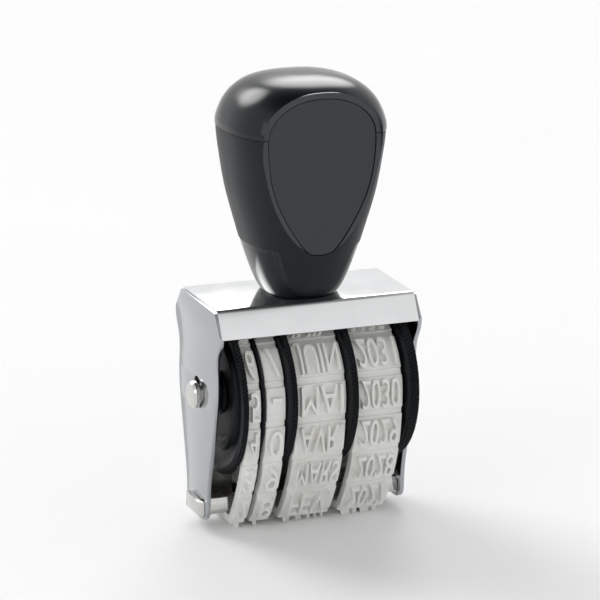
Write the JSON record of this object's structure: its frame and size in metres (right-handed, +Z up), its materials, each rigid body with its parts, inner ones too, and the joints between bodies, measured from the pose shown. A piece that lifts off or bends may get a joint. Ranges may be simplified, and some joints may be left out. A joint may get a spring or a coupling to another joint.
{
  "type": "rotary date stamp",
  "caption": "Hand date stamp: rubber type bands on knurled index wheels in a folded nickel frame under a plastic handle.",
  "frame": {"origin": "middle of the printing plane, the face of the type that stands on the paper", "axes": "+Z up through the handle, X along the axle towards the year wheel, -Y the front with the label plate"},
  "size_m": [0.0332, 0.024, 0.0659],
  "materials": {
    "nickel_sheet": "bright nickel plate, softly mirrored",
    "spring_steel": "dark rolled spring steel",
    "wheel_plastic": "black moulded plastic, knurled rims",
    "gloss_plastic": "polished black plastic",
    "satin_plastic": "satin charcoal plastic",
    "label_plastic": "fine-textured charcoal plate",
    "type_rubber": "pale grey moulded rubber"
  },
  "bodies": {
    "body": {"frame_bracket": "nickel_sheet", "hood_cover": "nickel_sheet", "platen_bridge": "nickel_sheet", "index_spring": "spring_steel", "spring_rivet_left": "nickel_sheet", "spring_rivet_right": "nickel_sheet", "axle_pin": "nickel_sheet", "thrust_washer_left": "spring_steel", "thrust_washer_right": "spring_steel", "spacer_disc": "wheel_plastic", "handle_core": "gloss_plastic", "handle_body": "satin_plastic", "handle_cap": "gloss_plastic", "front_label_plate": "label_plastic", "rear_label_plate": "label_plastic", "handle_screw": "spring_steel", "day_tens_band": "type_rubber", "day_units_band": "type_rubber", "month_band": "type_rubber", "year_band": "type_rubber"},
    "day_tens_index": {"day_tens_wheel": "wheel_plastic"},
    "day_units_index": {"day_units_wheel": "wheel_plastic"},
    "month_index": {"month_wheel": "wheel_plastic"},
    "year_index": {"year_wheel": "wheel_plastic"}
  },
  "joints": [
    {"name": "day_tens_turn", "type": "hinge", "parent": "body", "child": "day_tens_index", "pos_m": [-0.011, 0, 0.0197], "axis": [1, 0, 0], "continuous": true},
    {"name": "day_units_turn", "type": "hinge", "parent": "body", "child": "day_units_index", "pos_m": [-0.0068, 0, 0.0197], "axis": [1, 0, 0], "continuous": true},
    {"name": "month_turn", "type": "hinge", "parent": "body", "child": "month_index", "pos_m": [-0.0005, 0, 0.0197], "axis": [1, 0, 0], "continuous": true},
    {"name": "year_turn", "type": "hinge", "parent": "body", "child": "year_index", "pos_m": [0.009, 0, 0.0197], "axis": [1, 0, 0], "continuous": true}
  ]
}
